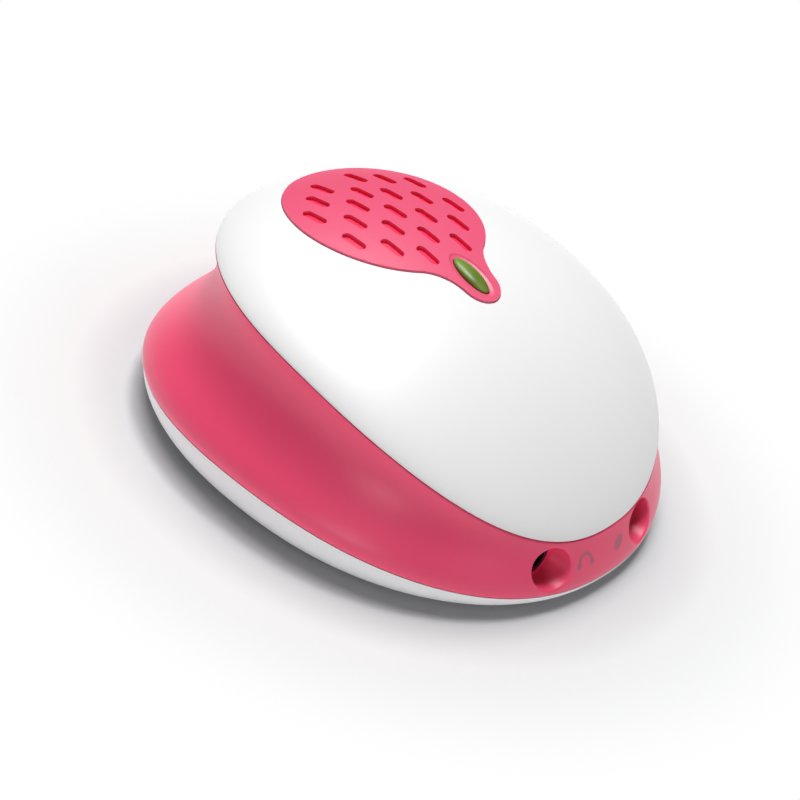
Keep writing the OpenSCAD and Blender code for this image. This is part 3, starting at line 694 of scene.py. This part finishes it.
# %% Base
POCKET_X, POCKET_WALL, BATTERY_Y = 26.2, 1.2, -10.7
POCKET_BACK, POCKET_FRONT = BATTERY_Y + 13.6, BATTERY_Y - 15.2
POCKET_TOP = 20.6
LEDGE, GAP = 1.2, 0.2
HINGE_Y, HINGE_Z = POCKET_BACK + POCKET_WALL + 1.9, 1.4
PROBE_R = 13.0
FLANGE_R = PROBE_R + 1.7
PROBE_Y = HINGE_Y + 2.7 + 1.1 + FLANGE_R + 1.3
CASE_SCREWS = ((21.6, -33.6), (30.2, 12))


def foot_at(a, q):
    p = lip_at(a)
    s = FOOT + (1 - FOOT) * math.cos(q)
    return Vector((p.x * s, p.y * s, (p.z - 0.05) * (1 - math.sin(q))))


def bowl_at(a, q):
    p = lip_at(a, WALL)
    s = FOOT + (1 - FOOT) * math.cos(q)
    top = max(p.z - 0.05, FLOOR + 0.2)
    return Vector((p.x * s, p.y * s, FLOOR + (top - FLOOR) * (1 - math.sin(q))))


def box_tool(name, low, high):
    low, high = Vector(low), Vector(high)
    bpy.ops.object.select_all(action="DESELECT")
    bpy.ops.mesh.primitive_cube_add(size=1, location=(low + high) / 2 * MM)
    piece = bpy.context.object
    piece.name = name
    piece.scale = (high - low) * MM
    bpy.ops.object.transform_apply(location=True, rotation=True, scale=True)
    return piece


def upright(name, x, y, radius, z_low, z_high, points=64):
    bpy.ops.object.select_all(action="DESELECT")
    bpy.ops.mesh.primitive_cylinder_add(vertices=points, radius=radius * MM,
                                        depth=(z_high - z_low) * MM,
                                        location=(x * MM, y * MM, (z_low + z_high) / 2 * MM))
    piece = bpy.context.object
    piece.name = name
    return apply_place(piece)


def apply_place(piece):
    alone(piece)
    bpy.ops.object.transform_apply(location=True, rotation=True, scale=True)
    return piece


def across_x(name, y, z, radius, half, points=48):
    bpy.ops.object.select_all(action="DESELECT")
    bpy.ops.mesh.primitive_cylinder_add(vertices=points, radius=radius * MM,
                                        depth=2 * half * MM, location=(0, y * MM, z * MM),
                                        rotation=(0, math.pi / 2, 0))
    piece = bpy.context.object
    piece.name = name
    return apply_place(piece)


foot = [ring_of(lambda a, s=s: Vector((lip_at(a).x * FOOT * s, lip_at(a).y * FOOT * s, 0)))
        for s in (0.3, 0.6, 0.85, 0.97)]
foot += [ring_of(lambda a, q=q: foot_at(a, q)) for q in
         (math.radians(90 - 90 * k / 14) for k in range(15))]
bowl = [ring_of(lambda a, q=q: bowl_at(a, q)) for q in
        (math.radians(90 * k / 6) for k in range(7))]
base = loft("base", foot + bowl, start=(0, 0, 0), end=(0, 0, FLOOR))
smooth_base = skin_copy(base)
EAR_Y = HINGE_Y - math.sqrt((HINGE_Y - POCKET_BACK - 0.6) ** 2 - (HINGE_Z + 0.15) ** 2)
hinge_half = POCKET_X - 1.7
for tool in (
        box_tool("opening", (-POCKET_X, POCKET_FRONT, -1), (POCKET_X, POCKET_BACK, 9)),
        box_tool("door_seat", (-POCKET_X - LEDGE - GAP, POCKET_FRONT - LEDGE - GAP, -1),
                 (POCKET_X + LEDGE + GAP, EAR_Y, 1.6)),
        box_tool("hinge_seat", (-hinge_half - GAP, POCKET_BACK - 1, -1),
                 (hinge_half + GAP, HINGE_Y + 1.5, 1.4)),
        upright("probe_seat", 0, PROBE_Y, PROBE_R + 0.1, -1, 9, 96),
        across_x("barrel_seat", HINGE_Y, HINGE_Z, 1.35, hinge_half + GAP)):
    cut(base, tool)
for x, y in CASE_SCREWS:
    for side in (-1, 1):
        cut(base, upright("screw_well", side * x, y, 2.8, -1, 9, 48))
keep_skin(base, smooth_base)
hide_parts("base_shell")
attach(base, "housing")

# %% [markdown]
# ## Walls of the battery compartment
# The compartment stands inside the tray and shows when the door is open. It
# is a piece of its own, so the tray keeps a clean shape, and it rides with it.

# %% Compartment walls
walls = box_tool("compartment", (-POCKET_X - POCKET_WALL, POCKET_FRONT - POCKET_WALL, 1.7),
                 (POCKET_X + POCKET_WALL, POCKET_BACK + POCKET_WALL, POCKET_TOP + 1))
cut(walls, box_tool("room", (-POCKET_X, POCKET_FRONT, 0), (POCKET_X, POCKET_BACK, POCKET_TOP)))
round_off = walls.modifiers.new("round_off", "BEVEL")
round_off.width, round_off.segments, round_off.limit_method = 0.3 * MM, 3, "ANGLE"
alone(walls)
bpy.ops.object.modifier_apply(modifier=round_off.name)
bpy.ops.object.shade_smooth_by_angle(angle=math.radians(40))
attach(walls, "housing")
hinge_block = box_tool("hinge_block", (-POCKET_X - POCKET_WALL, POCKET_BACK + 0.2, 1.6),
                       (POCKET_X + POCKET_WALL, HINGE_Y + 2.7, 4))
cut(hinge_block, across_x("barrel_room", HINGE_Y, HINGE_Z, 1.35, hinge_half + GAP))
cut(hinge_block, across_x("pin_room", HINGE_Y, HINGE_Z, 0.75, hinge_half + 1.9))
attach(hinge_block, "housing")

# %% [markdown]
# ## Shader maths as sums
# A finish is easier to read when its maths looks like maths. This small class
# holds one output of one node, and each operator adds the Math node that does
# the sum, also when the number comes first, as in `1 - mask`. Every other node
# comes from `node`, which sets its options first and its inputs after.

# %% Shader helper


class Wire:
    def __init__(self, finish, socket):
        self.finish, self.socket = finish, socket

    def sum(self, operation, first, second=0.0):
        return self.finish.node("ShaderNodeMath", {"operation": operation},
                                {0: first, 1: second})

    def __add__(self, other):
        return self.sum("ADD", self, other)

    def __radd__(self, other):
        return self.sum("ADD", other, self)

    def __sub__(self, other):
        return self.sum("SUBTRACT", self, other)

    def __rsub__(self, other):
        return self.sum("SUBTRACT", other, self)

    def __mul__(self, other):
        return self.sum("MULTIPLY", self, other)

    def __rmul__(self, other):
        return self.sum("MULTIPLY", other, self)

    def __truediv__(self, other):
        return self.sum("DIVIDE", self, other)

    def __pow__(self, other):
        return self.sum("POWER", self, other)

    def __lt__(self, other):
        return self.sum("LESS_THAN", self, other)

    def __gt__(self, other):
        return self.sum("GREATER_THAN", self, other)

    def __abs__(self):
        return self.sum("ABSOLUTE", self)

    def root(self):
        return self.sum("SQRT", self)

    def clamped(self):
        return self.finish.node("ShaderNodeClamp", {}, {"Value": self})


class Finish:
    def __init__(self, name):
        self.material = bpy.data.materials.new(name)
        self.material.use_nodes = True
        self.tree = self.material.node_tree
        self.tree.nodes.clear()
        self.output = self.tree.nodes.new("ShaderNodeOutputMaterial")

    def node(self, kind, settings=None, inputs=None, out=0):
        made = self.tree.nodes.new(kind)
        for name, value in (settings or {}).items():
            setattr(made, name, value)
        for name, value in (inputs or {}).items():
            if isinstance(value, Wire):
                self.tree.links.new(value.socket, made.inputs[name])
            else:
                made.inputs[name].default_value = value
        return Wire(self, made.outputs[out])

    def where(self):
        return self.node("ShaderNodeTexCoord", out="Object")

    def axes(self):
        parts = self.node("ShaderNodeSeparateXYZ", {}, {0: self.where()})
        return [Wire(self, parts.socket.node.outputs[i]) for i in range(3)]

    def noise(self, scale, detail=3.0, stretch=(1, 1, 1), roughness=0.5):
        spot = self.node("ShaderNodeMapping", {}, {0: self.where(), "Scale": stretch})
        return self.node("ShaderNodeTexNoise", {}, {"Vector": spot, "Scale": scale,
                                                    "Detail": detail,
                                                    "Roughness": roughness})

    def mix(self, factor, first, second):
        return self.node("ShaderNodeMix", {"data_type": "RGBA"},
                         {0: factor, 6: first, 7: second}, out=2)

    def bump(self, height, strength, distance):
        return self.node("ShaderNodeBump", {}, {"Height": height, "Strength": strength,
                                                "Distance": distance})

    def plastic(self, **sockets):
        inputs = {name.replace("_", " "): value for name, value in sockets.items()}
        skin = self.node("ShaderNodeBsdfPrincipled", {}, inputs)
        self.tree.links.new(skin.socket, self.output.inputs[0])
        return self.material


def rgb(r, g, b):
    """A colour as a picture shows it, 0 to 255, in the linear values of a shader."""
    return tuple((c / 255 / 12.92 if c < 10.3 else ((c / 255 + 0.055) / 1.055) ** 2.4)
                 for c in (r, g, b)) + (1,)


def wear(piece, material):
    piece.data.materials.clear()
    piece.data.materials.append(material)


# %% [markdown]
# ## Moulded plastics
# All the visible mouldings are the same kind of material: dense colour right
# through, a satin skin, and the faint grain of the mould. Three scales make it
# believable: a very slow drift of tone, a broken roughness, and a bump that is
# only a few hundredths of a millimetre wide. Each moulding sets its own colour
# and gloss. A print is a mask and an ink, laid over that colour, and a painted
# shade is a mask and a deeper, redder pink, laid over it the same way. The slots
# take their painted shade from depths that the insert's mesh carries with it.

# %% Moulded finishes


def moulded(name, colour, rough=0.38, drift=0.03, grain=0.10, coat=0.0, prints_and_painted_shade=(),
            shine=0.5):
    finish = Finish(name)
    slow = finish.noise(38, 2)
    fine = finish.noise(900, 2)
    speck = finish.noise(5200, 1)
    darker = tuple(c * (1 - drift) for c in colour[:3]) + (1,)
    tone = finish.mix(slow, darker, colour)
    # Prints and painted shades are laid over the tone in turn, each with its mask.
    for mask, ink_and_painted_shade in prints_and_painted_shade:
        tone = finish.mix(mask(finish), tone, ink_and_painted_shade)
    return finish.plastic(
        Base_Color=tone,
        Roughness=(rough - 0.04) + slow * 0.05 + fine * 0.03,
        Specular_IOR_Level=shine, Coat_Weight=coat, Coat_Roughness=0.12,
        Normal=finish.bump(speck * 0.5 + fine * 0.5, grain, 0.00002))


# Mask of the painted shade inside the slots, read from the insert's mesh.
def slot_painted_shade(finish):
    return finish.node("ShaderNodeAttribute", {"attribute_name": "slot_painted_shade"}, out="Fac")


white_skin = moulded("white_moulding", rgb(240, 240, 240), 0.42, 0.012)
# The insert's slots take a painted shade, rgb(246, 44, 92), a deeper, redder pink.
insert_skin = moulded("insert_moulding", rgb(232, 88, 122), 0.40, 0.03,
                      prints_and_painted_shade=((slot_painted_shade, rgb(246, 44, 92)),))
wear(dome, white_skin)
wear(insert, insert_skin)

# %% [markdown]
# ## Printed symbols
# Two small grey symbols are printed between the sockets: headphones, and a
# microphone for the recording socket. They lie on a curved wall, so a mask
# built from distances in the front view prints them, with a soft edge like
# pad-printed ink: an arc with two ear pads, and a slanted capsule.

# %% Waist finish with its symbols


HEADPHONES, MICROPHONE = (-6.72, 7.3), (3.06, 7.64)


def symbols(finish):
    x, y, z = (axis * 1000 for axis in finish.axes())
    front = y < -40.0

    def soft(distance, radius, blur=0.45):
        return (1 - (distance - (radius - blur / 2)) / blur).clamped()

    def spot(cx, cz, radius):
        return soft(((x - cx) ** 2.0 + (z - cz) ** 2.0).root(), radius)

    ring = ((x - HEADPHONES[0]) ** 2.0 + (z - HEADPHONES[1]) ** 2.0).root()
    arc = soft(abs(ring - 1.62), 0.30) * (z > 7.2)
    pads = spot(-8.4, 7.1, 0.55) + spot(-5.0, 7.1, 0.55)
    right_of, above = x - MICROPHONE[0], z - MICROPHONE[1]
    along = right_of * 0.81 + above * 0.58
    lean = right_of * 0.58 - above * 0.81
    capsule = soft(((along / 1.5) ** 2.0 + (lean / 1.0) ** 2.0).root(), 1.0, 0.6)
    return ((arc + pads + capsule).clamped() * front) * 0.62


def recess_painted_shade(finish):
    """Painted shade: a deeper, redder pink on the walls of the socket recesses."""
    x, y, z = (axis * 1000 for axis in finish.axes())
    up = (z - SOCKET_Z) / (RECESS_H / 2)
    spread = [(((x - cx) / (RECESS_W / 2)) ** 2.0 + up ** 2.0).root() for cx in SOCKETS_X]
    left, right = (((1 - reach) * 16).clamped() for reach in spread)
    return (left + right) * (y < -40.0)


# The recess walls take a painted shade, rgb(250, 57, 108); the grey symbols are print.
band_skin = moulded("waist_moulding", rgb(246, 80, 119), 0.38, 0.03, 0.10, shine=0.36,
                    prints_and_painted_shade=((recess_painted_shade, rgb(250, 57, 108)), (symbols, rgb(128, 96, 112))))
wear(waist, band_skin)
tray_skin = moulded("base_moulding", rgb(238, 239, 240), 0.36, 0.015)
for piece in (base, walls, hinge_block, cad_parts["battery_door"]):
    wear(piece, tray_skin)

# %% [markdown]
# ## The lit lens
# The button is a tinted clear lens with a frosted heart. Lighter streaks run
# along it, partly its own marbling and partly a painted sheen. A painted shade
# makes it darker towards the tail, and a clear coat gives it the wet highlight
# that the matt insert doesn't have.

# %% Lens finish
lens = Finish("lens")
x, y, z = lens.axes()
# Lighter streaks along the lens: partly its own marbling, partly a painted sheen.
streaks_and_sheen = lens.noise(420, 3, (1, 0.16, 1))
towards_tail = ((y / MM - (BUTTON_Y - BUTTON_L / 2)) / BUTTON_L).clamped()
# Painted shade: the lens is darker towards its tail.
lens_with_painted_shade = lens.mix(towards_tail, rgb(84, 98, 22), rgb(116, 150, 62))
lens_tone = lens.mix((streaks_and_sheen - 0.45) * 2.2, lens_with_painted_shade, rgb(142, 176, 84))
wear(button, lens.plastic(Base_Color=lens_tone, Roughness=0.3 + streaks_and_sheen * 0.1,
                          Specular_IOR_Level=0.3, Coat_Weight=0.08,
                          Normal=lens.bump(streaks_and_sheen, 0.05, 0.0001)))

# %% [markdown]
# ## What the sockets and the inside are made of
# The solids inside keep their own shapes and get finishes of their own: black
# socket plastic, tinned steel, lacquered boards with copper tracks under the
# lacquer, rubber, ceramic, and the printed steel jacket of the battery.

# %% Finishes of the inside


def metal(name, colour, rough, stretch=(1, 1, 12)):
    finish = Finish(name)
    brushed = finish.noise(700, 4, stretch)
    tone = finish.mix(brushed, tuple(c * 0.8 for c in colour[:3]) + (1,), colour)
    return finish.plastic(Base_Color=tone, Metallic=1.0,
                          Roughness=(rough - 0.08) + brushed * 0.16,
                          Normal=finish.bump(brushed, 0.12, 0.00003))


def board(name):
    finish = Finish(name)
    cells = finish.node("ShaderNodeTexVoronoi", {"distance": "MANHATTAN"},
                        {"Vector": finish.where(), "Scale": 420.0})
    tracks = ((cells - 0.42) * 14).clamped()
    weave = finish.noise(1500, 2)
    tone = finish.mix(tracks, rgb(22, 92, 52), rgb(40, 128, 70))
    return finish.plastic(Base_Color=finish.mix(weave * 0.25, tone, rgb(12, 64, 38)),
                          Roughness=0.3 + weave * 0.15, Coat_Weight=0.4,
                          Normal=finish.bump(tracks, 0.2, 0.00004))


def jacket(name):
    finish = Finish(name)
    x, y, z = finish.axes()
    band = x / MM < -10.0
    scuff = finish.noise(260, 4, (1, 6, 6))
    tone = finish.mix(band, rgb(196, 142, 66), rgb(34, 34, 38))
    return finish.plastic(Base_Color=finish.mix(scuff * 0.18, tone, rgb(230, 222, 205)),
                          Metallic=0.55, Roughness=0.28 + scuff * 0.18)


socket_black = moulded("socket_plastic", rgb(24, 23, 25), 0.32, 0.2, 0.2)
matt_black = moulded("chip_resin", rgb(20, 20, 21), 0.62, 0.2, 0.5)
seal_rubber = moulded("seal_rubber", rgb(28, 28, 29), 0.72, 0.15, 0.6)
foam = moulded("door_foam", rgb(70, 70, 72), 0.9, 0.3, 1.0)
resin = moulded("backing_resin", rgb(92, 66, 46), 0.7, 0.3, 0.6)
ceramic = moulded("crystal_ceramic", rgb(206, 196, 160), 0.5, 0.1, 0.3)
face_skin = moulded("probe_face", rgb(222, 222, 218), 0.42, 0.03)
cup_grey = moulded("cup_plastic", rgb(150, 150, 152), 0.5, 0.08)
lead_red = moulded("lead_sleeve", rgb(180, 30, 30), 0.45, 0.1, 0.3)
ribbon_grey = moulded("ribbon_sleeve", rgb(178, 180, 184), 0.4, 0.08, 0.3)
led_clear = moulded("led_epoxy", rgb(176, 214, 150), 0.15, 0.05, 0.05, 0.6)
sleeve_blue = moulded("capacitor_sleeve", rgb(30, 38, 92), 0.28, 0.1, 0.1, 0.3)
tin = metal("tinned_steel", rgb(206, 206, 202), 0.32)
screw_steel = metal("screw_steel", rgb(170, 170, 168), 0.36, (1, 1, 3))
lacquer = board("lacquered_board")
for finish, nodes in {
        socket_black: ("headphone_socket", "record_socket", "battery_connector"),
        matt_black: ("controller_chip", "audio_chip", "switch_plunger"),
        seal_rubber: ("probe_seal",), foam: ("door_pad",), resin: ("probe_backing",),
        ceramic: ("transmit_crystal", "receive_crystal"), face_skin: ("probe_window",),
        cup_grey: ("probe_cup",), lead_red: ("battery_leads", "probe_leads"),
        ribbon_grey: ("socket_ribbon",), led_clear: ("power_led",),
        sleeve_blue: ("capacitors",), tin: ("power_switch", "shield_can", "quartz_can"),
        screw_steel: ("case_screws", "board_screws"), jacket("battery_jacket"): ("battery",),
        lacquer: ("main_board", "socket_board")}.items():
    for name in nodes:
        wear(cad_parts[name], finish)

# %% [markdown]
# ## The table
# The object lies on a white sweep. The paper as the camera sees it carries a
# painted shadow: it is darker than the paper that throws light back, most of
# all beside the object, which deepens the shadow, and it shades to plain white
# a little way out, so the ground is even.

# %% Floor
bpy.ops.object.select_all(action="DESELECT")
bpy.ops.mesh.primitive_plane_add(size=3, location=(0, 0, 0))
floor = bpy.context.object
floor.name = "floor"
paper = Finish("paper")
x, y, z = paper.axes()
reach = ((x / 0.92) ** 2.0 + y ** 2.0).root()
# Painted shadow: the paper that the camera sees is darkest, a faintly blue grey, within a few
# centimetres of the object.
near = ((reach - 0.043) / 0.022).clamped()
far_out = ((reach - 0.058) / 0.034).clamped()
seen = paper.node("ShaderNodeLightPath", out="Is Camera Ray")
# Painted shadow tones, from beside the object to a little way out.
paper_with_painted_shadow = paper.mix(near, (0.44, 0.44, 0.465, 1), (0.74, 0.752, 0.752, 1))
tone = paper.mix(seen, (0.93, 0.93, 0.94, 1), paper_with_painted_shadow)
lit = paper.node("ShaderNodeBsdfDiffuse", {}, {"Color": tone})
plain = paper.node("ShaderNodeEmission", {}, {"Color": (1, 1, 1, 1), "Strength": 1.0})
fade = far_out * far_out * (3 - 2 * far_out) * seen
sheet_of_paper = paper.node("ShaderNodeMixShader", {}, {0: fade, 1: lit, 2: plain})
paper.tree.links.new(sheet_of_paper.socket, paper.output.inputs[0])
wear(floor, paper.material)

# %% [markdown]
# ## Four soft lights
# Each light was first rendered alone and the mix summed towards the tones of
# the photograph. The powers were then changed. Most of the light falls
# from above, and a little comes low from the left.

# %% Lights and sky


def soft_light(name, spot, size, power, tint=(1, 1, 1)):
    bpy.ops.object.light_add(type="AREA", location=spot)
    lamp = bpy.context.object
    lamp.name = name
    lamp.data.shape, lamp.data.size = "DISK", size
    lamp.data.energy, lamp.data.color = power, tint
    lamp.rotation_euler = (Vector(spot) - Vector((0, 0, 0.02))).to_track_quat("Z", "Y").to_euler()
    return lamp


soft_light("overhead", (0.15, 0.25, 1.0), 0.7, 11.4)
soft_light("small_key", (0.3, 0.1, 1.2), 0.25, 3.2)
soft_light("low_left", (-1.1, -0.35, 0.22), 0.4, 2.3)
soft_light("front_fill", (-0.2, -1.1, 0.45), 0.5, 1.1)
world = bpy.data.worlds.new("sky")
bpy.context.scene.world = world
world.use_nodes = True
nodes, links = world.node_tree.nodes, world.node_tree.links
nodes.clear()
air = nodes.new("ShaderNodeBackground")
air.inputs["Strength"].default_value = 0.01
ground = nodes.new("ShaderNodeBackground")
ground.inputs["Strength"].default_value = 1.0
pick = nodes.new("ShaderNodeMixShader")
path = nodes.new("ShaderNodeLightPath")
out = nodes.new("ShaderNodeOutputWorld")
links.new(path.outputs["Is Camera Ray"], pick.inputs[0])
links.new(air.outputs[0], pick.inputs[1])
links.new(ground.outputs[0], pick.inputs[2])
links.new(pick.outputs[0], out.inputs[0])
bpy.context.scene.view_settings.view_transform = "Standard"
